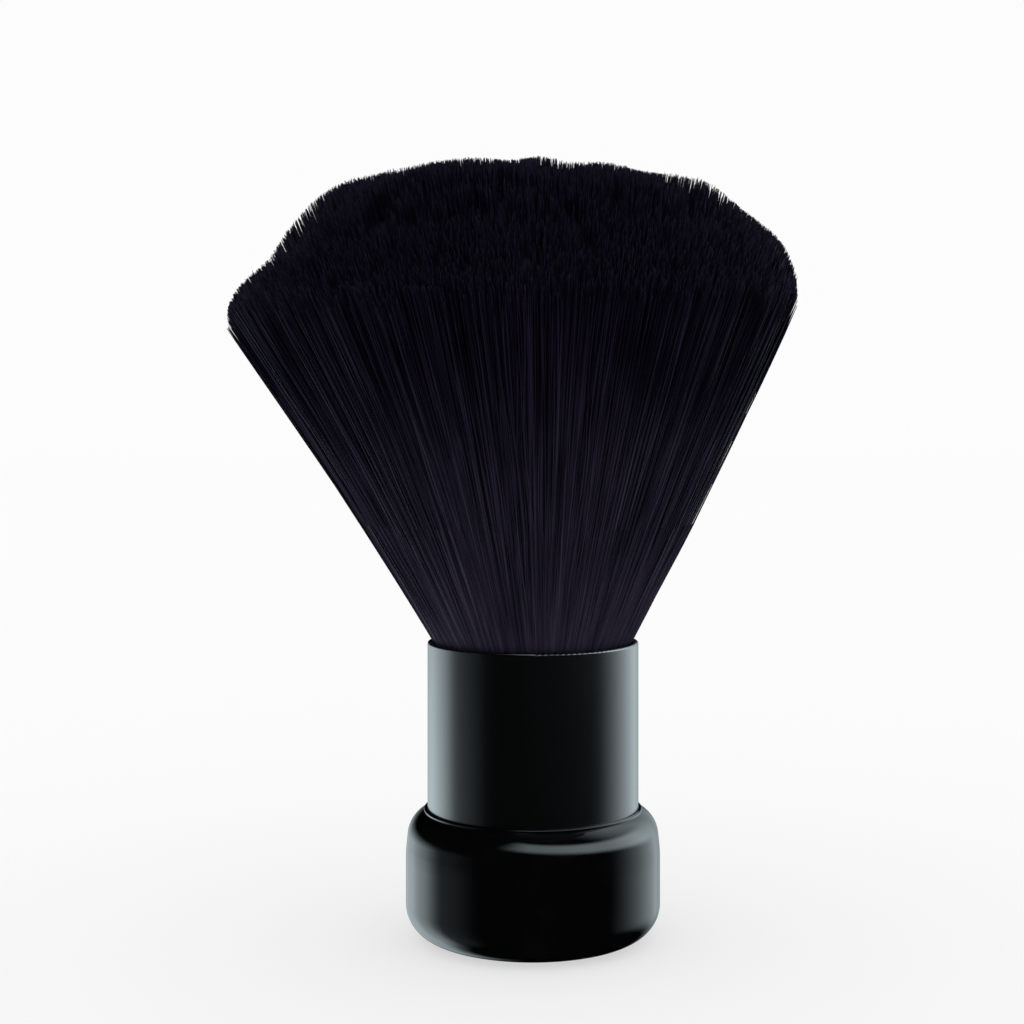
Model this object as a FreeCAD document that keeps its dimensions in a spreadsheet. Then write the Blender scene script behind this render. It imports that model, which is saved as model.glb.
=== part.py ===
import FreeCAD, Part
import os
import Sketcher

# Neck duster brush, millimetres, +Z up. The origin is the centre of the foot's face, on the handle's axis.
# The handle is a sleeve on a moulded core, with a weighted base shell clamped under it by one screw.
# The hair is potted in a cup inside the sleeve. Its free length is two soft solids that bend as ball
# joints do: the lower one about the sleeve's mouth, the upper one about a point a little above it.

SIZES = {
    # sleeve
    "sleeveRadius": 20.4, "sleeveWall": 1.0, "sleeveFoot": 13.0, "mouthHeight": 57.0, "rimRound": 0.35,
    # base shell, a barrel with a thin lip round the sleeve
    "shellFoot": 0.4, "shellRadius": 24.55, "shellWall": 1.8, "shellHeelRound": 6.3,
    "barrelTop": 16.8, "shoulderRadius": 23.9, "shoulderHeight": 23.1, "lipRadius": 21.1,
    "lipFoot": 24.5, "lipHeight": 24.95, "lipDepth": 1.0, "lipRound": 0.2, "barrelRound": 20.0,
    "shoulderRound": 5.4,
    "innerHeelRound": 5.0, "ledgeBottom": 3.2, "ledgeTop": 4.6, "ledgeRadius": 14.0, "cavityTop": 20.8,
    # base plate and foot pad
    "plateRadius": 15.6, "plateTop": 3.2, "bossRadius": 6.0, "bossTop": 6.0,
    "padRadius": 14.6, "padTop": 1.2, "padRound": 0.3,
    # clamp screw and its washer
    "shankRadius": 2.0, "shankTop": 12.0, "headRadius": 3.7, "headBottom": 1.4, "headTop": 3.8,
    "headRound": 0.9, "crossLength": 4.0, "crossWidth": 0.9, "crossDepth": 1.5,
    "washerRadius": 4.4, "washerTop": 4.6,
    # ballast ring
    "ballastRadius": 13.7, "ballastHole": 6.2, "ballastTop": 9.4, "ballastBevel": 0.5,
    # handle core
    "skirtOuter": 17.4, "skirtInner": 14.4, "floorBottom": 10.0, "flangeRadius": 20.3,
    "coreOuter": 19.3, "coreInner": 17.3, "coreTop": 30.0, "hubRadius": 5.6, "hubTop": 15.5,
    "ribThickness": 1.4, "ribTop": 24.0, "ribLand": 1.5, "ribSink": 0.5, "ribCount": 6,
    # knot cup, set resin and binding thread
    "cupOuter": 19.3, "cupInner": 18.0, "cupFloor": 1.5, "cupTop": 54.0, "resinTop": 37.5,
    "rootRadius": 17.9, "threadBottom": 40.0, "threadTop": 43.0, "threadDepth": 0.5,
    # free hair: a leaning cone that ends in a shallow dome
    "mouthHair": 19.2, "spreadRadius": 54.8, "spreadHeight": 119.0, "spreadLean": -3.9, "domeHeight": 29.8,
    # where the hair bends
    "rootBall": 20.8, "bendHeight": 67.0, "upperBall": 33.0, "hairGap": 0.4, "hairLift": 4.0,
    # gaps between pieces that slip into each other, and round the screw where it bites the core
    "slip": 0.1, "lipSlip": 0.15, "biteSlip": 0.02,
}

doc = FreeCAD.newDocument("neckDuster")


def makeSheet():
    sheet = doc.addObject("Spreadsheet::Sheet", "sizes")
    for row, (alias, value) in enumerate(SIZES.items(), start=1):
        sheet.set(f"A{row}", alias)
        sheet.set(f"B{row}", str(value))
        sheet.setAlias(f"B{row}", alias)
    doc.recompute()
    return sheet


sizes = makeSheet()


def cell(text):
    """Puts the sheet's name before every alias in an expression."""
    words = text.replace("(", " ( ").replace(")", " ) ").split()
    return " ".join("sizes." + word if word in SIZES else word for word in words)


def originPlane(body, role):
    return next(part for part in body.Origin.OriginFeatures if part.Role == role)


def newBody(name):
    body = doc.addObject("PartDesign::Body", name)
    body.Label = name
    return body


def newSketch(body, name, role="XZ_Plane"):
    sketch = body.newObject("Sketcher::SketchObject", name)
    sketch.AttachmentSupport = [(originPlane(body, role), "")]
    sketch.MapMode = "FlatFace"
    return sketch


def bindPoint(sketch, edge, across, up):
    """Ties the start point of an edge to two expressions, or to an axis where one is 0."""
    for kind, axis, text in (("DistanceX", -2, across), ("DistanceY", -1, up)):
        if text == "0":
            sketch.addConstraint(Sketcher.Constraint("PointOnObject", edge, 1, axis))
            continue
        value = float(sketch.evalExpression(cell(text)))
        index = sketch.addConstraint(Sketcher.Constraint(kind, -1, 1, edge, 1, value))
        sketch.setExpression(f"Constraints[{index}]", cell(text))


def outline(body, name, corners, role="XZ_Plane"):
    """A closed sketch of straight lines through corners, each a pair of expressions."""
    sketch = newSketch(body, name, role)
    points = [FreeCAD.Vector(*[float(sketch.evalExpression(cell(text))) for text in corner], 0)
              for corner in corners]
    for start, end in zip(points, points[1:] + points[:1]):
        sketch.addGeometry(Part.LineSegment(start, end), False)
    for edge in range(len(corners)):
        following = (edge + 1) % len(corners)
        sketch.addConstraint(Sketcher.Constraint("Coincident", edge, 2, following, 1))
    for edge, (across, up) in enumerate(corners):
        bindPoint(sketch, edge, across, up)
    sketch.Visibility = False
    return sketch


def turned(body, name, corners):
    """A full turn about Z of an outline drawn as (radius, height)."""
    sketch = outline(body, name + "Outline", corners)
    turn = body.newObject("PartDesign::Revolution", name)
    turn.Profile = sketch
    turn.ReferenceAxis = (sketch, ["V_Axis"])
    turn.Angle = 360
    doc.recompute()
    return turn


def ringEdge(feature, across, up):
    """The name of the circular edge at a radius and height, both expressions."""
    radius = float(sizes.evalExpression(cell(across)))
    height = float(sizes.evalExpression(cell(up)))
    for number, edge in enumerate(feature.Shape.Edges, start=1):
        isRing = isinstance(edge.Curve, Part.Circle) and abs(edge.Curve.Radius - radius) < 1e-4
        if isRing and abs(edge.Curve.Center.z - height) < 1e-4 and abs(edge.Curve.Center.x) < 1e-4:
            return f"Edge{number}"
    raise ValueError(f"{feature.Name} has no ring at {across}, {up}")


def rounded(body, feature, name, across, up, size, kind="Fillet"):
    """Rounds or chamfers one ring edge."""
    dress = body.newObject(f"PartDesign::{kind}", name)
    dress.Base = (feature, [ringEdge(feature, across, up)])
    dress.setExpression("Radius" if kind == "Fillet" else "Size", cell(size))
    doc.recompute()
    return dress


def makeSleeve():
    body = newBody("sleeve")
    tube = turned(body, "sleeveTube", [
        ("sleeveRadius - sleeveWall", "sleeveFoot"), ("sleeveRadius", "sleeveFoot"),
        ("sleeveRadius", "mouthHeight"), ("sleeveRadius - sleeveWall", "mouthHeight")])
    rim = rounded(body, tube, "sleeveRim", "sleeveRadius", "mouthHeight", "rimRound")
    rounded(body, rim, "sleeveMouth", "sleeveRadius - sleeveWall", "mouthHeight", "rimRound")
    return body


def makeBaseShell():
    body = newBody("base_shell")
    hole = "plateRadius + slip"
    cavity = "shellRadius - shellWall"
    shell = turned(body, "shellWallTurn", [
        (hole, "shellFoot"), ("shellRadius", "shellFoot"), ("shellRadius", "barrelTop"),
        ("shoulderRadius", "shoulderHeight"), ("lipRadius", "lipFoot"), ("lipRadius", "lipHeight"),
        ("sleeveRadius + lipSlip", "lipHeight"), ("sleeveRadius + lipSlip", "lipHeight - lipDepth"),
        ("shoulderRadius - shellWall", "cavityTop"), (cavity, "barrelTop"), (cavity, "ledgeTop"),
        ("ledgeRadius", "ledgeTop"), ("ledgeRadius", "ledgeBottom"), (hole, "ledgeBottom")])
    heel = rounded(body, shell, "shellHeel", "shellRadius", "shellFoot", "shellHeelRound")
    barrel = rounded(body, heel, "shellBarrel", "shellRadius", "barrelTop", "barrelRound")
    shoulder = rounded(body, barrel, "shellShoulder", "shoulderRadius", "shoulderHeight", "shoulderRound")
    lip = rounded(body, shoulder, "shellLip", "lipRadius", "lipHeight", "lipRound")
    rounded(body, lip, "shellInnerHeel", cavity, "ledgeTop", "innerHeelRound")
    return body


def makeBasePlate():
    body = newBody("base_plate")
    recess = "padRadius + slip"
    counterbore = "washerRadius + slip"
    turned(body, "plateTurn", [
        ("shankRadius + slip", "washerTop"), (counterbore, "washerTop"), (counterbore, "padTop"),
        (recess, "padTop"), (recess, "shellFoot"), ("plateRadius", "shellFoot"),
        ("plateRadius", "plateTop"), ("bossRadius", "plateTop"), ("bossRadius", "bossTop"),
        ("shankRadius + slip", "bossTop")])
    return body


def makeFootPad():
    body = newBody("foot_pad")
    pad = turned(body, "padTurn", [("0", "0"), ("padRadius", "0"), ("padRadius", "padTop"), ("0", "padTop")])
    rounded(body, pad, "padEdge", "padRadius", "0", "padRound")
    return body


def makeClampScrew():
    body = newBody("clamp_screw")
    blank = turned(body, "screwTurn", [
        ("0", "headBottom"), ("headRadius", "headBottom"), ("headRadius", "headTop"),
        ("shankRadius", "headTop"), ("shankRadius", "shankTop"), ("0", "shankTop")])
    head = rounded(body, blank, "screwHead", "headRadius", "headBottom", "headRound")
    solidBefore = head.Shape.Volume
    slot = outline(body, "crossSlot", [
        ("crossLength / -2", "crossWidth / -2"), ("crossLength / 2", "crossWidth / -2"),
        ("crossLength / 2", "crossWidth / 2"), ("crossLength / -2", "crossWidth / 2")], "XY_Plane")
    slot.setExpression("AttachmentOffset.Base.z", cell("headBottom"))
    cut = body.newObject("PartDesign::Pocket", "crossCut")
    cut.Profile = slot
    cut.setExpression("Length", cell("crossDepth"))
    cut.Reversed = True
    doc.recompute()
    cross = body.newObject("PartDesign::PolarPattern", "crossPattern")
    cross.Originals = [cut]
    cross.Axis = (slot, ["N_Axis"])
    cross.Angle = 90
    cross.Occurrences = 2
    body.Tip = cross
    doc.recompute()
    if not cross.Shape.Volume < cut.Shape.Volume < solidBefore:
        raise ValueError("the screw's cross recess cuts nothing")
    return body


def makeWasher():
    body = newBody("screw_washer")
    turned(body, "washerTurn", [
        ("shankRadius + slip", "headTop"), ("washerRadius", "headTop"),
        ("washerRadius", "washerTop"), ("shankRadius + slip", "washerTop")])
    return body


def makeBallast():
    body = newBody("ballast_ring")
    ring = turned(body, "ballastTurn", [
        ("ballastHole", "plateTop"), ("ballastRadius", "plateTop"),
        ("ballastRadius", "ballastTop"), ("ballastHole", "ballastTop")])
    rounded(body, ring, "ballastBevelEdge", "ballastRadius", "ballastTop", "ballastBevel", "Chamfer")
    return body


def makeHandleCore():
    body = newBody("handle_core")
    hole = "shankRadius + biteSlip"
    core = turned(body, "coreTurn", [
        (hole, "bossTop"), ("hubRadius", "bossTop"), ("hubRadius", "floorBottom"),
        ("skirtInner", "floorBottom"), ("skirtInner", "ledgeTop"), ("skirtOuter", "ledgeTop"),
        ("skirtOuter", "floorBottom"), ("flangeRadius", "floorBottom"), ("flangeRadius", "sleeveFoot"),
        ("coreOuter", "sleeveFoot"), ("coreOuter", "coreTop"), ("coreInner", "coreTop"),
        ("coreInner", "sleeveFoot"), ("hubRadius", "sleeveFoot"), ("hubRadius", "hubTop"), (hole, "hubTop")])
    ribSketch = outline(body, "ribOutline", [
        ("hubRadius - ribSink", "sleeveFoot - ribSink"), ("coreInner + ribSink", "sleeveFoot - ribSink"),
        ("coreInner + ribSink", "ribTop"), ("coreInner - ribLand", "ribTop"),
        ("hubRadius - ribSink", "hubTop")])
    rib = body.newObject("PartDesign::Pad", "coreRib")
    rib.Profile = ribSketch
    rib.setExpression("Length", cell("ribThickness"))
    rib.Midplane = True
    doc.recompute()
    ribs = body.newObject("PartDesign::PolarPattern", "coreRibs")
    ribs.Originals = [rib]
    ribs.Axis = (ribSketch, ["V_Axis"])
    ribs.Angle = 360
    ribs.setExpression("Occurrences", cell("ribCount"))
    body.Tip = ribs
    doc.recompute()
    if ribs.Shape.Volume <= core.Shape.Volume:
        raise ValueError("the core's ribs add nothing")
    return body


def makeKnotCup():
    body = newBody("knot_cup")
    turned(body, "cupTurn", [
        ("0", "coreTop"), ("cupOuter", "coreTop"), ("cupOuter", "cupTop"), ("cupInner", "cupTop"),
        ("cupInner", "coreTop + cupFloor"), ("0", "coreTop + cupFloor")])
    return body


def makeResinPlug():
    body = newBody("resin_plug")
    turned(body, "resinTurn", [
        ("0", "coreTop + cupFloor"), ("rootRadius", "coreTop + cupFloor"),
        ("rootRadius", "resinTop"), ("0", "resinTop")])
    return body


def makeBindingThread():
    body = newBody("binding_thread")
    turned(body, "threadTurn", [
        ("rootRadius - threadDepth", "threadBottom"), ("rootRadius", "threadBottom"),
        ("rootRadius", "threadTop"), ("rootRadius - threadDepth", "threadTop")])
    return body


def makeRootBundle():
    """The hair between the resin and the mouth, waisted where the thread binds it."""
    body = newBody("rootBundle")
    turned(body, "rootTurn", [
        ("0", "resinTop"), ("rootRadius", "resinTop"), ("rootRadius", "threadBottom"),
        ("rootRadius - threadDepth", "threadBottom"), ("rootRadius - threadDepth", "threadTop"),
        ("rootRadius", "threadTop"), ("rootRadius", "cupTop"), ("mouthHair", "mouthHeight"),
        ("0", "mouthHeight")])
    return body


def primitive(kind, name, **expressions):
    piece = doc.addObject("Part::" + kind, name)
    for prop, text in expressions.items():
        piece.setExpression(prop.replace("_", "."), cell(text))
    return piece


def ball(name, radius, height):
    return primitive("Sphere", name, Radius=radius, Placement_Base_z=height)


def boolean(kind, name, base, tool):
    piece = doc.addObject("Part::" + kind, name)
    piece.Base, piece.Tool = base, tool
    return piece


def makeHairForm():
    """The whole free hair as one body of fibre: a leaning cone under half an ellipsoid."""
    mouth = primitive("Circle", "hairMouth", Radius="mouthHair", Placement_Base_z="mouthHeight")
    spread = primitive("Circle", "hairSpread", Radius="spreadRadius",
                       Placement_Base_x="spreadLean", Placement_Base_z="spreadHeight")
    cone = doc.addObject("Part::Loft", "hairCone")
    cone.Sections = [mouth, spread]
    cone.Solid = True
    cone.Ruled = True
    dome = primitive("Ellipsoid", "hairDome", Radius1="domeHeight", Radius2="spreadRadius",
                     Radius3="spreadRadius", Placement_Base_x="spreadLean", Placement_Base_z="spreadHeight")
    dome.Angle1 = 0
    return boolean("Fuse", "hairForm", cone, dome)


def makeHair():
    """Cuts the hair's form at two spheres, so that each length can turn inside the next."""
    form = makeHairForm()
    doc.recompute()
    rootDome = boolean("Common", "rootDome", form, ball("rootBallSolid", "rootBall", "mouthHeight"))
    root = boolean("Fuse", "hair_root", makeRootBundle(), rootDome)

    lowerWhole = boolean("Common", "lowerWhole", form, ball("upperBallSolid", "upperBall", "bendHeight"))
    socket = ball("rootSocket", "rootBall + hairGap", "mouthHeight")
    lowerSocketed = boolean("Cut", "lowerSocketed", lowerWhole, socket)
    lift = primitive("Cylinder", "lowerLift", Radius="spreadRadius", Height="hairLift",
                     Placement_Base_z="mouthHeight")
    lower = boolean("Cut", "hair_lower", lowerSocketed, lift)

    upper = boolean("Cut", "hair_upper", form, ball("upperSocket", "upperBall + hairGap", "bendHeight"))
    for piece in (root, lower, upper):
        piece.Label = piece.Name
    doc.recompute()
    return [root, lower, upper]


def checkDocument():
    for item in doc.Objects:
        if "Invalid" in item.State or "Error" in item.State:
            raise RuntimeError(f"{item.Label} failed: {item.State}")


def writeParts(pieces):
    for piece in pieces:
        if piece.Shape.isNull() or not piece.Shape.isValid():
            raise RuntimeError(f"{piece.Label} has no valid shape")
    os.makedirs("parts", exist_ok=True)
    for piece in pieces:
        piece.Shape.exportStep(f"parts/{piece.Label}.step")
        print(f"{piece.Label:16s} {piece.Shape.Volume:12.1f} mm3  solids {len(piece.Shape.Solids)}")


pieces = [makeSleeve(), makeBaseShell(), makeBasePlate(), makeFootPad(), makeClampScrew(), makeWasher(),
          makeBallast(), makeHandleCore(), makeKnotCup(), makeResinPlug(), makeBindingThread()]
pieces += makeHair()
doc.recompute()
checkDocument()
writeParts(pieces)
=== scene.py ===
import math
import bmesh
import bpy
import numpy as np
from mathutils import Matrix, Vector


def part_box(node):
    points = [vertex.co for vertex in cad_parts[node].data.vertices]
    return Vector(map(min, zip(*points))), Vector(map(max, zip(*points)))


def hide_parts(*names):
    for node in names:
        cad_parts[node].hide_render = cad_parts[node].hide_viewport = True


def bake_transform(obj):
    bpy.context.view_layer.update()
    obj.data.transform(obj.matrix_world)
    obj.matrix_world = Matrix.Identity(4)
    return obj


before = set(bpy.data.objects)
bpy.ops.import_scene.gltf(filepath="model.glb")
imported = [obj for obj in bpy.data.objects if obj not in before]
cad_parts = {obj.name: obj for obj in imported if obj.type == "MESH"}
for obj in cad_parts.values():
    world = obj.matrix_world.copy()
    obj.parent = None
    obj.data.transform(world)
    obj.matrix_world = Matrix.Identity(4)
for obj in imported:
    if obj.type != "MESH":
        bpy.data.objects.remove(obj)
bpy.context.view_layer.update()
dice = np.random.default_rng(11)
scene = bpy.context.scene
print("frame loaded:", len(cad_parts), "nodes")


# camera

viewing = {
    "distance": 0.339, "height": 0.0974, "lens": 61.5, "nearest": 0.01,
    "shiftRight": -0.0205, "shiftUp": -0.078,
}


def makeCamera():
    data = bpy.data.cameras.new("camera")
    data.lens = viewing["lens"]
    data.shift_x = viewing["shiftRight"]
    data.shift_y = viewing["shiftUp"]
    data.clip_start = viewing["nearest"]
    camera = bpy.data.objects.new("camera", data)
    camera.location = (0, -viewing["distance"], viewing["height"])
    camera.rotation_euler = (math.radians(90), 0, 0)  # level, looking along +Y
    scene.collection.objects.link(camera)
    scene.camera = camera


makeCamera()


# shader helpers

class Tap:
    # a shader socket that can be used in sums
    def __init__(self, shade, socket):
        self.shade = shade
        self.socket = socket

    def maths(self, operation, first, second):
        return self.shade.node("Math", {"operation": operation}, {0: first, 1: second})

    def __add__(self, other):
        return self.maths("ADD", self, other)

    def __radd__(self, other):
        return self.maths("ADD", other, self)

    def __sub__(self, other):
        return self.maths("SUBTRACT", self, other)

    def __rsub__(self, other):
        return self.maths("SUBTRACT", other, self)

    def __mul__(self, other):
        return self.maths("MULTIPLY", self, other)

    def __rmul__(self, other):
        return self.maths("MULTIPLY", other, self)


class Shade:
    # the nodes of one material or of the world
    def __init__(self, tree):
        self.tree = tree
        self.tree.nodes.clear()

    def feed(self, socket, value):
        if isinstance(value, Tap):
            self.tree.links.new(value.socket, socket)
        else:
            socket.default_value = value

    def node(self, kind, settings=None, inputs=None, output=0):
        made = self.tree.nodes.new("ShaderNode" + kind)
        settings = dict(settings or {})
        stops = settings.pop("stops", None)
        for key, value in settings.items():
            setattr(made, key, value)
        if stops:
            ramp = made.color_ramp
            ramp.interpolation = "EASE"
            ramp.elements[0].position, ramp.elements[1].position = stops[0][0], stops[-1][0]
            for place, _ in stops[1:-1]:
                ramp.elements.new(place)
            for stop, (_, level) in zip(ramp.elements, stops):
                stop.color = (level, level, level, 1)
        for key, value in (inputs or {}).items():
            self.feed(made.inputs[key], value)
        return Tap(self, made.outputs[output]) if made.outputs else None

    def place(self):
        return self.node("TexCoord", output="Object")

    def noise(self, scale, detail=3.0, rough=0.5, where=None):
        values = {"Scale": scale, "Detail": detail, "Roughness": rough, "Vector": where or self.place()}
        return self.node("TexNoise", {}, values)

    def scaled(self, where, scale):
        return self.node("Mapping", {}, {"Vector": where, "Scale": scale})

    def stretched(self, across, along):
        # coordinates scaled so that a pattern runs along Z or round it
        return self.scaled(self.place(), (across, across, along))

    def ramp(self, value, *stops):
        return self.node("ValToRGB", {"stops": stops}, {"Fac": value})

    def mix(self, share, first, second):
        # a colour between two others, each a plain triple or the result of another node
        ends = {}
        for socket, colour in ((6, first), (7, second)):
            ends[socket] = colour if isinstance(colour, Tap) else (*colour, 1)
        return self.node("Mix", {"data_type": "RGBA"}, {0: share, **ends}, output=2)

    def bump(self, height, depth):
        return self.node("Bump", {}, {"Height": height, "Distance": depth, "Strength": 1.0})

    def surface(self, **values):
        named = {key.replace("_", " "): value for key, value in values.items()}
        shader = self.node("BsdfPrincipled", {}, named)
        self.node("OutputMaterial", {}, {"Surface": shader})


def newFinish(name):
    material = bpy.data.materials.new(name)
    material.use_nodes = True
    return material, Shade(material.node_tree)


# finishes of the handle

satin = {
    "colour": (0.0012, 0.0013, 0.0015), "worn": (0.0050, 0.0052, 0.0056), "wear": 0.5,
    "gloss": 1.0, "roughness": 0.21, "roughnessSpread": 0.06, "wornRoughness": 0.05,
    "coat": 0.6, "coatRoughness": 0.26,
    "handlingScale": 90, "rubScale": 60, "rubLength": 10, "rubStops": ((0.62, 0.0), (0.80, 1.0)),
    "grainScale": 2600, "grainDepth": 0.000004,
}


def satinSleeve():
    finish, shade = newFinish("satinSleeve")
    grain = shade.noise(satin["grainScale"], 2)
    handling = shade.noise(satin["handlingScale"], 4, 0.6)  # slow change where hands have polished it
    rubs = shade.noise(satin["rubScale"], 5, 0.7, shade.stretched(satin["rubLength"], 1))
    rubbed = shade.ramp(rubs, *satin["rubStops"])
    base = shade.mix(rubbed * satin["wear"], satin["colour"], satin["worn"])
    rough = (satin["roughness"] + handling * satin["roughnessSpread"]
             + rubbed * satin["wornRoughness"])
    shade.surface(Base_Color=base, Roughness=rough, Specular_IOR_Level=satin["gloss"],
                  Coat_Weight=satin["coat"], Coat_Roughness=satin["coatRoughness"],
                  Normal=shade.bump(grain, satin["grainDepth"]))
    return finish


gloss = {
    "colour": (0.0010, 0.0011, 0.0013), "dusty": (0.0040, 0.0042, 0.0048), "dust": 0.4,
    "roughness": 0.05, "smear": 0.08, "smearScale": 140, "smearStops": ((0.45, 0.0), (0.75, 1.0)),
    "flowScale": 55, "flowDepth": 0.00004,
}


def glossBase():
    finish, shade = newFinish("glossBase")
    flow = shade.noise(gloss["flowScale"], 2, 0.4)  # faint sink and flow of thick moulding
    smears = shade.ramp(shade.noise(gloss["smearScale"], 6, 0.65), *gloss["smearStops"])
    base = shade.mix(smears * gloss["dust"], gloss["colour"], gloss["dusty"])
    rough = gloss["roughness"] + smears * gloss["smear"]
    shade.surface(Base_Color=base, Roughness=rough, Normal=shade.bump(flow, gloss["flowDepth"]))
    return finish


moulded = {
    "dark": (0.014, 0.014, 0.015), "pale": (0.024, 0.024, 0.025), "cloudScale": 70,
    "roughness": 0.42, "roughnessSpread": 0.15, "sparkScale": 1800, "sparkDepth": 0.00002,
}


def mouldedPlastic():
    finish, shade = newFinish("mouldedPlastic")
    spark = shade.noise(moulded["sparkScale"], 3, 0.6)  # spark-eroded mould texture
    cloud = shade.noise(moulded["cloudScale"], 3)
    base = shade.mix(cloud, moulded["dark"], moulded["pale"])
    rough = moulded["roughness"] + cloud * moulded["roughnessSpread"]
    shade.surface(Base_Color=base, Roughness=rough, Normal=shade.bump(spark, moulded["sparkDepth"]))
    return finish


rubber = {
    "colour": (0.016, 0.016, 0.017), "dusty": (0.06, 0.058, 0.055), "dust": 0.6,
    "roughness": 0.75, "dustRoughness": 0.15, "dustScale": 260, "dustStops": ((0.5, 0.0), (0.8, 1.0)),
    "grainScale": 1400, "grainDepth": 0.00005,
}


def footRubber():
    finish, shade = newFinish("footRubber")
    grain = shade.noise(rubber["grainScale"], 4, 0.7)
    dust = shade.ramp(shade.noise(rubber["dustScale"], 5, 0.7), *rubber["dustStops"])
    base = shade.mix(dust * rubber["dust"], rubber["colour"], rubber["dusty"])
    rough = rubber["roughness"] + dust * rubber["dustRoughness"]
    shade.surface(Base_Color=base, Roughness=rough, Normal=shade.bump(grain, rubber["grainDepth"]))
    return finish


bright = {
    "dark": (0.50, 0.50, 0.48), "pale": (0.68, 0.67, 0.62), "turningScale": 30, "turningPitch": 60,
    "roughness": 0.22, "roughnessSpread": 0.18, "turningDepth": 0.00001,
}


def brightSteel():
    finish, shade = newFinish("brightSteel")
    turned = shade.noise(bright["turningScale"], 3, 0.6, shade.stretched(1, bright["turningPitch"]))
    base = shade.mix(turned, bright["dark"], bright["pale"])
    rough = bright["roughness"] + turned * bright["roughnessSpread"]
    shade.surface(Base_Color=base, Metallic=1.0, Roughness=rough,
                  Normal=shade.bump(turned, bright["turningDepth"]))
    return finish


ballast = {
    "colour": (0.42, 0.41, 0.40), "rust": (0.22, 0.15, 0.10), "rusting": 0.7,
    "rustScale": 220, "rustStops": ((0.45, 0.0), (0.8, 1.0)), "turningScale": 30, "turningPitch": 90,
    "roughness": 0.3, "rustRoughness": 0.3, "turningRoughness": 0.1,
}


def ballastSteel():
    finish, shade = newFinish("ballastSteel")
    turned = shade.noise(ballast["turningScale"], 4, 0.6, shade.stretched(1, ballast["turningPitch"]))
    bloom = shade.ramp(shade.noise(ballast["rustScale"], 5, 0.7), *ballast["rustStops"])
    base = shade.mix(bloom * ballast["rusting"], ballast["colour"], ballast["rust"])
    rough = (ballast["roughness"] + bloom * ballast["rustRoughness"]
             + turned * ballast["turningRoughness"])
    shade.surface(Base_Color=base, Metallic=1.0, Roughness=rough)
    return finish


resin = {
    "dark": (0.28, 0.15, 0.04), "pale": (0.42, 0.26, 0.09), "cloudScale": 160,
    "roughness": 0.12, "roughnessSpread": 0.1,
}


def amberResin():
    finish, shade = newFinish("amberResin")
    cloud = shade.noise(resin["cloudScale"], 4)
    base = shade.mix(cloud, resin["dark"], resin["pale"])
    shade.surface(Base_Color=base, Roughness=resin["roughness"] + cloud * resin["roughnessSpread"])
    return finish


thread = {
    # the groove colour is painted shade between the turns
    "shadedGroove": (0.008, 0.008, 0.009), "crown": (0.03, 0.03, 0.032), "turnScale": 450, "unevenness": 0.6,
    "roughness": 0.5, "roughnessSpread": 0.2, "turnDepth": 0.0002,
}


def waxedThread():
    finish, shade = newFinish("waxedThread")
    winding = {"Vector": shade.place(), "Scale": thread["turnScale"], "Distortion": thread["unevenness"]}
    turns = shade.node("TexWave", {"bands_direction": "Z"}, winding)
    # painted shade: the colour is darkened in the grooves between the turns
    base = shade.mix(turns, thread["shadedGroove"], thread["crown"])
    rough = thread["roughness"] + turns * thread["roughnessSpread"]
    shade.surface(Base_Color=base, Roughness=rough, Normal=shade.bump(turns, thread["turnDepth"]))
    return finish


def dressHandle():
    plastic, steel = mouldedPlastic(), brightSteel()
    finishes = {
        "sleeve": satinSleeve(), "base_shell": glossBase(), "base_plate": plastic,
        "foot_pad": footRubber(), "clamp_screw": steel, "screw_washer": steel,
        "ballast_ring": ballastSteel(), "handle_core": plastic, "knot_cup": plastic,
        "resin_plug": amberResin(), "binding_thread": waxedThread(),
    }
    for node, finish in finishes.items():
        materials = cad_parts[node].data.materials
        materials.clear()
        materials.append(finish)


dressHandle()
print("handle dressed")


# the outline of the hair, which all its pieces share

upperLow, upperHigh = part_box("hair_upper")
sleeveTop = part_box("sleeve")[1].z
outline = {
    # a leaning cone under a squarish dome of tips
    "rootHeight": sleeveTop - 0.002, "rootRadius": 0.0180, "sideBow": 0.08,
    "splitHeight": sleeveTop + 0.023, "bendEnd": sleeveTop + 0.060,
    "spread": (upperHigh.x - upperLow.x) / 2 - 0.0002, "lean": (upperHigh.x + upperLow.x) / 2,
    "apex": upperHigh.z - 0.0001, "domeHeight": 0.0306, "domePower": 2.33, "outermost": 0.9995,
    # shorter hair at the left shoulder, longer at the right one
    "leftDrop": 0.0080, "leftDropStart": 0.64, "leftDropEnd": 0.94, "leftDropEdge": 0.12,
    "rightRise": 0.0020, "rightRiseAt": 0.74, "rightRiseWidth": 0.12,
    "rightRim": 0.0030, "rightRimStart": 0.80,
    # the slightly uneven surface of the trimmed tips
    "lumps": 0.0005, "ripples": 0.0003,
}


def eased(value):
    value = np.clip(value, 0, 1)
    return value * value * (3 - 2 * value)


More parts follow.
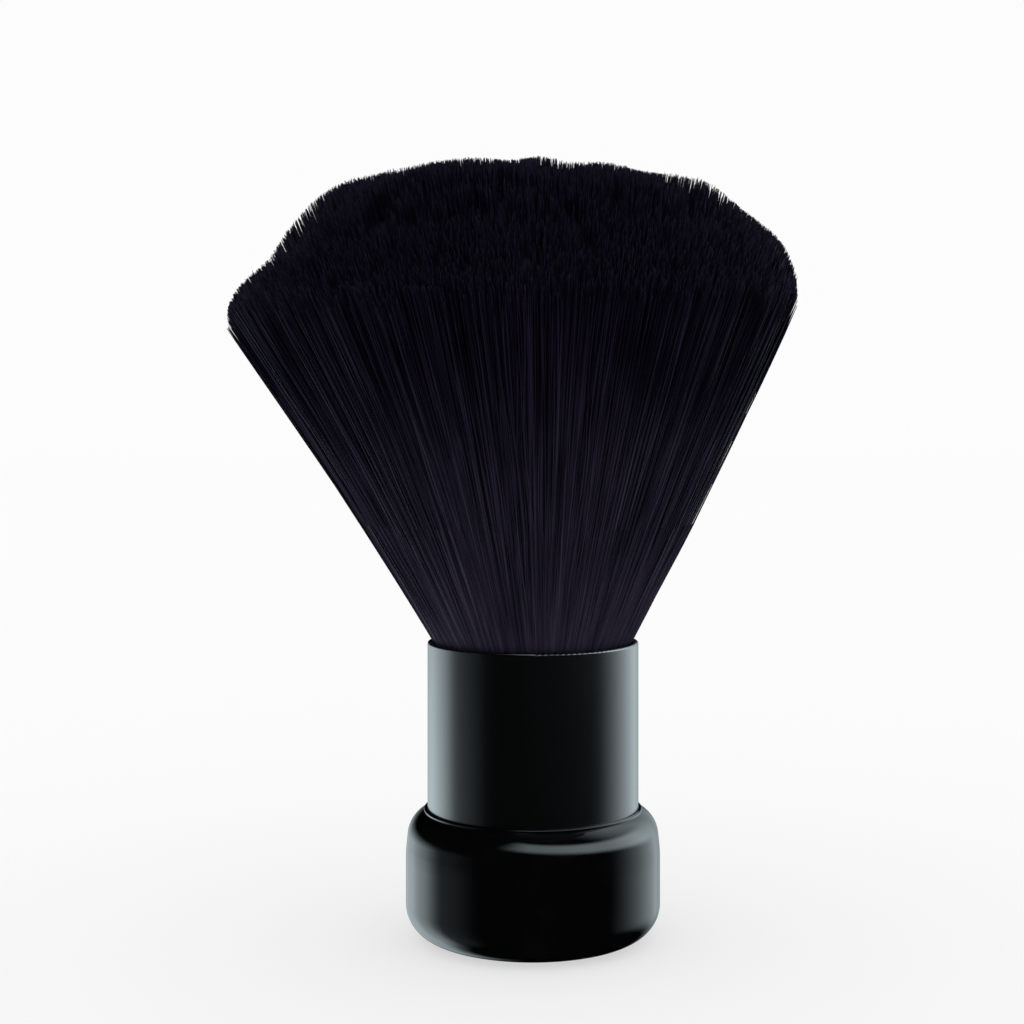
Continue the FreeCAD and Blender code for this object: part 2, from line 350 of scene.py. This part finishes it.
def tipPlace(share, angle, drop=0.0):
    # a point on the surface that the tips make: share is 0 on the axis and 1 at the widest ring
    share = np.clip(share, 0, outline["outermost"])
    radius = outline["spread"] * share
    rise = outline["domeHeight"] * (1 - share ** outline["domePower"]) ** (1 / outline["domePower"])
    left = np.clip(-np.cos(angle), 0, 1) ** 2
    right = np.clip(np.cos(angle), 0, 1) ** 2
    dropWidth = outline["leftDropEnd"] - outline["leftDropStart"]
    shorter = eased((share - outline["leftDropStart"]) / dropWidth)
    shorter = shorter * np.clip((1 - share) / outline["leftDropEdge"], 0, 1) ** 0.5
    shoulder = (share - outline["rightRiseAt"]) / outline["rightRiseWidth"]
    rim = eased((share - outline["rightRimStart"]) / (1 - outline["rightRimStart"]))
    longer = np.exp(-shoulder ** 2) * outline["rightRise"] + outline["rightRim"] * rim
    lumps = outline["lumps"] * np.sin(5 * angle + 1.3) * np.sin(7 * share + 0.4)
    ripples = outline["ripples"] * np.sin(11 * angle + 9 * share)
    height = (outline["apex"] - outline["domeHeight"] + rise - drop + (lumps + ripples)
              - outline["leftDrop"] * shorter * left + longer * right)
    return np.stack([outline["lean"] + radius * np.cos(angle), radius * np.sin(angle), height], axis=-1)


def rootPlace(share, angle):
    radius = outline["rootRadius"] * share
    return np.stack([radius * np.cos(angle), radius * np.sin(angle),
                     np.full_like(radius, outline["rootHeight"])], axis=-1)


# strands

strand = {
    "sides": 3, "thickness": 0.00015, "tipThickness": 0.4, "taperLength": 0.06,
    # its slight wave: smaller outwards than round the brush, and with a few more turns round
    "outWave": 0.7, "fewestTurns": 0.5, "mostTurns": 1.5, "loosening": 3, "roundTurns": 1.3,
}


def taper(share):
    # full thickness for most of the way, then down to a fine tip
    fine = strand["tipThickness"]
    return fine + (1 - fine) * np.clip((1 - share) / strand["taperLength"], 0, 1) ** 0.7


def waveOf(count, amount):
    # a slight wave in each strand: how far outwards and round, how many turns, and where they start
    return {
        "out": dice.normal(0, amount * strand["outWave"], count)[:, None],
        "round": dice.normal(0, amount, count)[:, None],
        "turns": dice.uniform(strand["fewestTurns"], strand["mostTurns"], count)[:, None] * 2 * np.pi,
        "start": dice.uniform(0, 2 * np.pi, count)[:, None],
    }


def rowsBetween(root, tip, angle, heights, bow, wave=None):
    # the middle line of each strand at the given heights
    climb = (heights - root[:, None, 2]) / (tip[:, None, 2] - root[:, None, 2])
    bent = climb + bow[:, None] * climb * (1 - climb)
    places = root[:, None, :] + (tip - root)[:, None, :] * bent[:, :, None]
    places[:, :, 2] = heights
    if wave:
        free = np.clip(climb * strand["loosening"], 0, 1)  # the sleeve holds the roots still
        outwards = wave["out"] * free * np.sin(wave["turns"] * climb + wave["start"])
        roundTurns = wave["turns"] * strand["roundTurns"]
        onwards = wave["round"] * free * np.sin(roundTurns * climb + 2 * wave["start"])
        cos, sin = np.cos(angle)[:, None], np.sin(angle)[:, None]
        places[:, :, 0] += outwards * cos - onwards * sin
        places[:, :, 1] += outwards * sin + onwards * cos
    return places


def unitTube(sides, rows):
    # a closed tube of unit radius with its rows a unit apart
    bm = bmesh.new()
    bmesh.ops.create_circle(bm, segments=sides, radius=1, cap_ends=True)
    edges = list(bm.edges)
    ends = list(edges)
    for _ in range(rows - 1):
        grown = bmesh.ops.extrude_edge_only(bm, edges=edges)["geom"]
        verts = [part for part in grown if isinstance(part, bmesh.types.BMVert)]
        edges = [part for part in grown if isinstance(part, bmesh.types.BMEdge)
                 and all(vert in verts for vert in part.verts)]
        bmesh.ops.translate(bm, verts=verts, vec=(0, 0, 1))
    bmesh.ops.contextual_create(bm, geom=edges)
    bmesh.ops.recalc_face_normals(bm, faces=bm.faces)
    for face in bm.faces:
        face.smooth = True
    for edge in ends + edges:
        edge.smooth = False
    mesh = bpy.data.meshes.new("tube")
    bm.to_mesh(mesh)
    bm.free()
    return mesh


def cornersOf(mesh):
    corner = np.empty(len(mesh.vertices) * 3)
    mesh.vertices.foreach_get("co", corner)
    corner = corner.reshape(-1, 3)
    return corner, np.rint(corner[:, 2]).astype(int)


def addPiece(name, mesh, places, material):
    mesh.name = name
    mesh.vertices.foreach_set("co", places.astype(np.float32).ravel())
    mesh.update()
    mesh.materials.append(material)
    piece = bpy.data.objects.new(name, mesh)
    scene.collection.objects.link(piece)
    return piece


def repeated(mesh, count):
    # the same mesh many times over, one copy after another in its lists
    holder = bpy.data.objects.new("repeated", mesh)
    scene.collection.objects.link(holder)
    copies = holder.modifiers.new("copies", "ARRAY")
    copies.use_relative_offset = False
    copies.count = count
    depsgraph = bpy.context.evaluated_depsgraph_get()
    made = bpy.data.meshes.new_from_object(holder.evaluated_get(depsgraph))
    bpy.data.objects.remove(holder)
    return made


def makeStrands(name, centres, radii, flow, material):
    # one piece of many strands, whose rows of centres, radii and flow values are given
    count, rows = radii.shape
    template = unitTube(strand["sides"], rows)
    corner, row = cornersOf(template)
    mesh = repeated(template, count)
    way = centres[:, -1] - centres[:, 0]
    way /= np.linalg.norm(way, axis=1, keepdims=True)
    side = np.cross(way, dice.normal(size=(count, 3)))
    side /= np.linalg.norm(side, axis=1, keepdims=True)
    other = np.cross(way, side)
    ring = side[:, None] * corner[None, :, 0, None] + other[:, None] * corner[None, :, 1, None]
    places = centres[:, row] + ring * radii[:, row, None]
    attribute = mesh.attributes.new("flow", "FLOAT_VECTOR", "POINT")
    attribute.data.foreach_set("vector", flow[:, row].astype(np.float32).ravel())
    return addPiece(name, mesh, places, material)


def flowOf(tone, around, along):
    # what the colour reads at each point: the strand's tone, its place round the brush, and root to tip
    tones = np.broadcast_to(tone[:, None], along.shape)
    arounds = np.broadcast_to(around[:, None], along.shape)
    return np.stack([tones, arounds, along], axis=-1)


dyeAndShade = {
    # the tip colours are painted shade, darker than the roots
    "deepRoot": (0.0120, 0.0100, 0.0200), "deepTip": (0.0017, 0.0012, 0.0043),
    "paleRoot": (0.0330, 0.0290, 0.0500), "paleTip": (0.0108, 0.0082, 0.0208),
    # the cut-end colour is a painted highlight on the tips
    "cutEndHighlight": (0.0300, 0.0250, 0.0500), "cutEndStart": 0.985, "cutEndShare": 0.3,
    # patterns by tone, place round the brush, and root to tip
    "streakScale": (0.2, 27, 3), "streakStops": ((0.34, 0.0), (0.68, 1.0)),
    "patchScale": (0.0, 3.5, 2), "patchShift": 0.5,
    "fadeStops": ((0.0, 0.0), (0.45, 0.30), (0.85, 0.93), (1.0, 1.0)),
    "toneShare": 0.3, "streakShare": 0.7,
    "roughness": 0.5, "roughnessSpread": 0.2, "sheen": 0.09, "sheenTint": (0.80, 0.66, 1.0, 1),
}


def hairFibre():
    # black with a violet sheen, paler along single locks, with painted shade darkening it from the roots to
    # the tips
    finish, shade = newFinish("hairFibre")
    flow = shade.node("Attribute", {"attribute_name": "flow"}, output="Vector")
    tone = shade.node("SeparateXYZ", {}, {0: flow}, output="X")
    along = shade.node("SeparateXYZ", {}, {0: flow}, output="Z")
    streaks = shade.noise(1.0, 2, 0.5, shade.scaled(flow, dyeAndShade["streakScale"]))
    lit = shade.ramp(streaks, *dyeAndShade["streakStops"])
    patches = shade.noise(1.0, 1, 0.5, shade.scaled(flow, dyeAndShade["patchScale"]))
    # painted shade: darker from the root to the tip, the change moved up or down in random patches
    tipShade = shade.ramp(along + (patches - 0.5) * dyeAndShade["patchShift"], *dyeAndShade["fadeStops"])
    deep = shade.mix(tipShade, dyeAndShade["deepRoot"], dyeAndShade["deepTip"])
    pale = shade.mix(tipShade, dyeAndShade["paleRoot"], dyeAndShade["paleTip"])
    dyedAndShaded = shade.mix(tone * dyeAndShade["toneShare"] + lit * dyeAndShade["streakShare"], deep, pale)
    # painted highlight: the cut ends are made paler, as if they caught a little more light
    cutEndHighlight = shade.ramp(along, (dyeAndShade["cutEndStart"], 0.0), (1.0, 1.0))
    base = shade.mix(cutEndHighlight * dyeAndShade["cutEndShare"], dyedAndShaded, dyeAndShade["cutEndHighlight"])
    rough = dyeAndShade["roughness"] + tone * dyeAndShade["roughnessSpread"]
    shade.surface(Base_Color=base, Roughness=rough, Specular_IOR_Level=dyeAndShade["sheen"],
                  Specular_Tint=dyeAndShade["sheenTint"])
    return finish


innerHair = {
    # the mass's near-black colour is painted shade, deep among the strands
    "dark": (0.0010, 0.0008, 0.0016), "pale": (0.0100, 0.0084, 0.0150),
    "fibreScale": 40, "fibresAcross": 40, "fibresAlong": 2, "fibreDepth": 0.0006,
    "roughness": 0.7, "roughnessSpread": 0.2, "sheen": 0.1,
    # its side is on the line of a strand a little way in, and its dome lies under the tips
    "share": 0.95, "rootShare": 0.97, "depth": 0.0065, "sunk": 0.010,
    "ringSides": 120, "lowerRows": 10, "upperRows": 9, "domeRows": 14, "domeTurn": 0.97,
}


def hairMass():
    finish, shade = newFinish("hairMass")
    where = shade.stretched(innerHair["fibresAcross"], innerHair["fibresAlong"])
    fibres = shade.noise(innerHair["fibreScale"], 4, 0.65, where)
    # painted shade: the mass is coloured near black, for the shade deep inside the hair
    base = shade.mix(fibres, innerHair["dark"], innerHair["pale"])
    rough = innerHair["roughness"] + fibres * innerHair["roughnessSpread"]
    shade.surface(Base_Color=base, Roughness=rough, Specular_IOR_Level=innerHair["sheen"],
                  Normal=shade.bump(fibres, innerHair["fibreDepth"]))
    return finish


fibre, mass = hairFibre(), hairMass()


def inParts(name, parts, centres, radii, flow):
    # the strands shared out over a few pieces
    pieces = []
    for part in range(parts):
        pick = slice(part, None, parts)
        pieces.append(makeStrands(f"{name}_{part + 1}", centres[pick], radii[pick], flow[pick], fibre))
    return pieces


sideHair = {
    "strands": 14000, "clumps": 420, "lowerParts": 3, "lowerRows": 7, "upperParts": 4, "upperRows": 8,
    # clumps: how far their middles wander and their strands stand apart, in spaces between clumps,
    # and how far their tips draw together at most
    "wander": 0.4, "apart": 0.55, "pull": 0.4, "rootStray": 0.02, "tipStray": 0.008,
    # how deep the strands lie: most near the surface
    "layer": 0.12, "layerPower": 2.2, "tipLayer": 0.8, "clumpDepth": 0.006,
    # the trimmed ends: a slight unevenness, and some strands that are clearly shorter
    "uneven": 0.0005, "clumpUneven": 0.0002, "short": 0.003, "shortShare": 0.2,
    "bow": -0.005, "bowSpread": 0.008, "wave": 0.00022,
    "clumpTone": 0.4, "tone": 0.12, "thinnest": 0.7, "thickest": 1.25, "rowPower": 0.9,
}


def makeSideHair():
    count, clumps = sideHair["strands"], sideHair["clumps"]
    clump = dice.integers(0, clumps, count)
    wander = dice.uniform(-sideHair["wander"], sideHair["wander"], clumps)
    middle = (np.arange(clumps) + wander) * 2 * np.pi / clumps
    apart = dice.normal(0, sideHair["apart"], count) * 2 * np.pi / clumps
    pull = dice.uniform(0.0, sideHair["pull"], clumps)[clump]
    rootAngle = middle[clump] + apart + dice.normal(0, sideHair["rootStray"], count)
    tipAngle = middle[clump] + apart * (1 - pull) + dice.normal(0, sideHair["tipStray"], count)
    deeper = sideHair["layer"] * dice.uniform(0, 1, count) ** sideHair["layerPower"]
    clumpDeeper = sideHair["clumpDepth"] * dice.uniform(0, 1, clumps)[clump]
    root = rootPlace(1 - deeper, rootAngle)
    tip = tipPlace(1 - sideHair["tipLayer"] * deeper - clumpDeeper, tipAngle)
    uneven = np.abs(dice.normal(0, sideHair["uneven"], count))
    isShort = dice.random(count) < sideHair["shortShare"]
    ragged = uneven + isShort * dice.uniform(0, sideHair["short"], count)
    tip[:, 2] += dice.normal(0, sideHair["clumpUneven"], clumps)[clump] - ragged
    bow = dice.normal(sideHair["bow"], sideHair["bowSpread"], count) + outline["sideBow"] * np.cos(tipAngle)
    wave = waveOf(count, sideHair["wave"])
    tone = dice.uniform(0, sideHair["clumpTone"], clumps)[clump] + dice.exponential(sideHair["tone"], count)
    thickness = strand["thickness"] * dice.uniform(sideHair["thinnest"], sideHair["thickest"], count)

    rootHeight, splitHeight, tipHeight = root[:, 2:3], outline["splitHeight"], tip[:, 2:3]
    low = np.linspace(outline["rootHeight"], splitHeight, sideHair["lowerRows"])[None].repeat(count, 0)
    steps = np.linspace(0, 1, sideHair["upperRows"])[None] ** sideHair["rowPower"]
    high = splitHeight + (tipHeight - splitHeight) * steps
    made = []
    for name, heights, parts in (("hair_side_lower", low, sideHair["lowerParts"]),
                                 ("hair_side_upper", high, sideHair["upperParts"])):
        share = (heights - rootHeight) / (tipHeight - rootHeight)
        centres = rowsBetween(root, tip, tipAngle, heights, bow, wave)
        radii = thickness[:, None] * taper(share)
        flow = flowOf(np.clip(tone, 0, 1), rootAngle, share)
        made.append(inParts(name, parts, centres, radii, flow))
    return made


tipHair = {
    "strands": 19000, "clumps": 1500, "parts": 2, "rows": 4, "length": 0.026, "rowPower": 0.7,
    # how far out the clumps' middles reach, and how their strands stray and draw together
    "clumpReach": 0.90, "outermost": 0.985, "wander": 0.035, "pullLeast": 0.5, "pullMost": 1.0,
    "uneven": 0.00025, "clumpUneven": 0.00012, "bowSpread": 0.01, "wave": 0.00015,
    "clumpTone": 0.3, "tone": 0.12, "thinnest": 0.7, "thickest": 1.1,
}


def makeTipHair():
    count, clumps = tipHair["strands"], tipHair["clumps"]
    clump = dice.integers(0, clumps, count)
    clumpShare = np.sqrt(dice.uniform(0, tipHair["clumpReach"], clumps))
    clumpAngle = dice.uniform(0, 2 * np.pi, clumps)
    wander = dice.normal(0, tipHair["wander"], (count, 2))
    pull = dice.uniform(tipHair["pullLeast"], tipHair["pullMost"], clumps)[clump]
    across = clumpShare[clump] * np.cos(clumpAngle[clump])
    deep = clumpShare[clump] * np.sin(clumpAngle[clump])
    rootX, rootY = across + wander[:, 0], deep + wander[:, 1]
    tipX, tipY = across + wander[:, 0] * pull, deep + wander[:, 1] * pull
    rootShare = np.minimum(np.hypot(rootX, rootY), tipHair["outermost"])
    tipShare = np.minimum(np.hypot(tipX, tipY), tipHair["outermost"])
    tipAngle = np.arctan2(tipY, tipX)
    root, tip = rootPlace(rootShare, np.arctan2(rootY, rootX)), tipPlace(tipShare, tipAngle)
    ragged = dice.normal(0, tipHair["clumpUneven"], clumps)[clump]
    tip[:, 2] += ragged - np.abs(dice.normal(0, tipHair["uneven"], count))
    bow = dice.normal(0, tipHair["bowSpread"], count) + outline["sideBow"] * np.cos(tipAngle) * tipShare
    wave = waveOf(count, tipHair["wave"])
    tone = dice.uniform(0, tipHair["clumpTone"], clumps)[clump] + dice.exponential(tipHair["tone"], count)
    thickness = strand["thickness"] * dice.uniform(tipHair["thinnest"], tipHair["thickest"], count)

    rootHeight, tipHeight = root[:, 2:3], tip[:, 2:3]
    steps = np.linspace(0, 1, tipHair["rows"])[None] ** tipHair["rowPower"]
    heights = tipHeight - tipHair["length"] * (1 - steps)
    share = (heights - rootHeight) / (tipHeight - rootHeight)
    centres = rowsBetween(root, tip, tipAngle, heights, bow, wave)
    radii = thickness[:, None] * taper(share)
    flow = flowOf(np.clip(tone, 0, 1), tipAngle, share)
    return inParts("hair_tips", tipHair["parts"], centres, radii, flow)


def massRim(angle):
    return tipPlace(np.full_like(angle, innerHair["share"]), angle, innerHair["depth"])


def massRows(angle, heights):
    # the dense inner hair's side, at heights given for each angle
    root = rootPlace(np.full_like(angle, innerHair["rootShare"]), angle)
    return rowsBetween(root, massRim(angle), angle, heights, outline["sideBow"] * np.cos(angle))


def makeMassLower():
    mesh = unitTube(innerHair["ringSides"], innerHair["lowerRows"])
    corner, row = cornersOf(mesh)
    angle = np.arctan2(corner[:, 1], corner[:, 0])
    rootHeight, splitHeight = outline["rootHeight"], outline["splitHeight"]
    heights = np.linspace(rootHeight - innerHair["sunk"], splitHeight, innerHair["lowerRows"])[row]
    places = massRows(angle, np.maximum(heights, rootHeight)[:, None])[:, 0]
    places[:, 2] = heights
    return addPiece("hair_mass_lower", mesh, places, mass)


def makeMassUpper():
    sideRows, domeRows = innerHair["upperRows"], innerHair["domeRows"]
    mesh = unitTube(innerHair["ringSides"], sideRows + domeRows)
    corner, row = cornersOf(mesh)
    angle = np.arctan2(corner[:, 1], corner[:, 0])
    climb = np.clip(row / (sideRows - 1), 0, 1)
    heights = outline["splitHeight"] + (massRim(angle)[:, 2] - outline["splitHeight"]) * climb
    side = massRows(angle, heights[:, None])[:, 0]
    turn = np.clip((row - sideRows + 1) / domeRows, 0, 1) * math.pi / 2 * innerHair["domeTurn"]
    dome = tipPlace(innerHair["share"] * np.cos(turn), angle, innerHair["depth"])
    places = np.where((row < sideRows)[:, None], side, dome)
    return addPiece("hair_mass_upper", mesh, places, mass)


def makeHair():
    lowSides, highSides = makeSideHair()
    shortHair = makeTipHair()
    lowMass, highMass = makeMassLower(), makeMassUpper()
    for piece in (*lowSides, lowMass):
        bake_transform(piece)
    for piece in (*highSides, *shortHair, highMass):
        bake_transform(piece)
    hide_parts("hair_root", "hair_lower")
    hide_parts("hair_upper")


makeHair()
print("hair grown")


# studio

studio = {
    "floorRadius": 8.0, "floorSides": 64, "floorColour": (0.36, 0.36, 0.36), "floorSpread": 0.004,
    "floorRoughness": 0.9, "floorGlow": 0.587,
    "backdrop": 0.975, "room": 1.075, "panelTint": (0.80, 0.95, 1.0),
}
# soft panels that only gloss sees, each with its brightness by bearing and by height, in degrees
panels = {
    "left": {
        "strength": 1.9, "tilt": 0,
        "bearings": ((-178, 0.0), (-158, 0.55), (-134, 1.0), (-116, 1.0), (-88, 0.15), (-46, 0.0)),
        "heights": ((-62, 0.0), (-42, 1.0), (-14, 1.0), (10, 0.0)),
    },
    "right": {
        "strength": 1.4, "tilt": 0,
        "bearings": ((70, 0.0), (126, 1.0), (140, 1.0), (160, 0.5), (178, 0.0)),
        "heights": ((-34, 0.0), (-14, 1.0), (45, 1.0), (80, 0.0)),
    },
    "above": {
        "strength": 3.0, "tilt": 0.5,  # this one hangs lower towards the right
        "bearings": ((-42, 0.0), (0, 0.8), (60, 1.0), (100, 1.0), (150, 0.0)),
        "heights": ((22, 0.0), (38, 1.0), (53, 1.0), (68, 0.0)),
    },
}


def makeFloor():
    bm = bmesh.new()
    bmesh.ops.create_circle(bm, segments=studio["floorSides"], radius=studio["floorRadius"], cap_ends=True)
    mesh = bpy.data.meshes.new("floor")
    bm.to_mesh(mesh)
    bm.free()
    finish, shade = newFinish("paleFloor")
    darker = tuple(level - studio["floorSpread"] for level in studio["floorColour"])
    base = shade.mix(shade.noise(3, 2), darker, studio["floorColour"])
    shade.surface(Base_Color=base, Roughness=studio["floorRoughness"], Specular_IOR_Level=0.0,
                  Emission_Color=(1, 1, 1, 1), Emission_Strength=studio["floorGlow"])
    mesh.materials.append(finish)
    floor = bpy.data.objects.new("floor", mesh)
    floor.visible_glossy = False  # the gloss shows the light panels, not the floor
    scene.collection.objects.link(floor)


def makeLight():
    # an even white room, in which gloss sees a dark front, a soft panel on each side and a strip above
    world = bpy.data.worlds.new("studio")
    scene.world = world
    world.use_nodes = True
    world.cycles.sampling_method = "NONE"  # so that each kind of ray meets its own light
    shade = Shade(world.node_tree)
    way = shade.node("TexCoord", output="Generated")
    x, y, z = [shade.node("SeparateXYZ", {}, {0: way}, output=axis) for axis in "XYZ"]
    # bearing goes from 0 to 1 over -180 to 180 degrees, with the front at 0 and +X at 90
    bearing = shade.node("Math", {"operation": "ARCTAN2"}, {0: x, 1: 0 - y}) * (0.5 / math.pi) + 0.5
    rise = shade.node("Math", {"operation": "ARCSINE"}, {0: z}) * (1 / math.pi) + 0.5

    def softPanel(strength, tilt, bearings, heights):
        sideways = shade.ramp(bearing, *[((degrees + 180) / 360, level) for degrees, level in bearings])
        tilted = rise + (bearing * tilt - tilt / 2) if tilt else rise
        upwards = shade.ramp(tilted, *[((degrees + 90) / 180, level) for degrees, level in heights])
        return sideways * upwards * strength

    left, right, above = [softPanel(**panels[name]) for name in ("left", "right", "above")]
    glossy = shade.node("LightPath", output="Is Glossy Ray")
    seen = shade.node("LightPath", output="Is Camera Ray")
    lit = (1 - glossy) * studio["room"] + glossy * (left + right + above)
    strength = seen * studio["backdrop"] + (1 - seen) * lit
    tint = shade.mix(glossy, (1, 1, 1), studio["panelTint"])
    light = shade.node("Background", {}, {"Color": tint, "Strength": strength})
    shade.node("OutputWorld", {}, {"Surface": light})


makeFloor()
makeLight()
scene.view_settings.view_transform = "Standard"
print("studio lit")
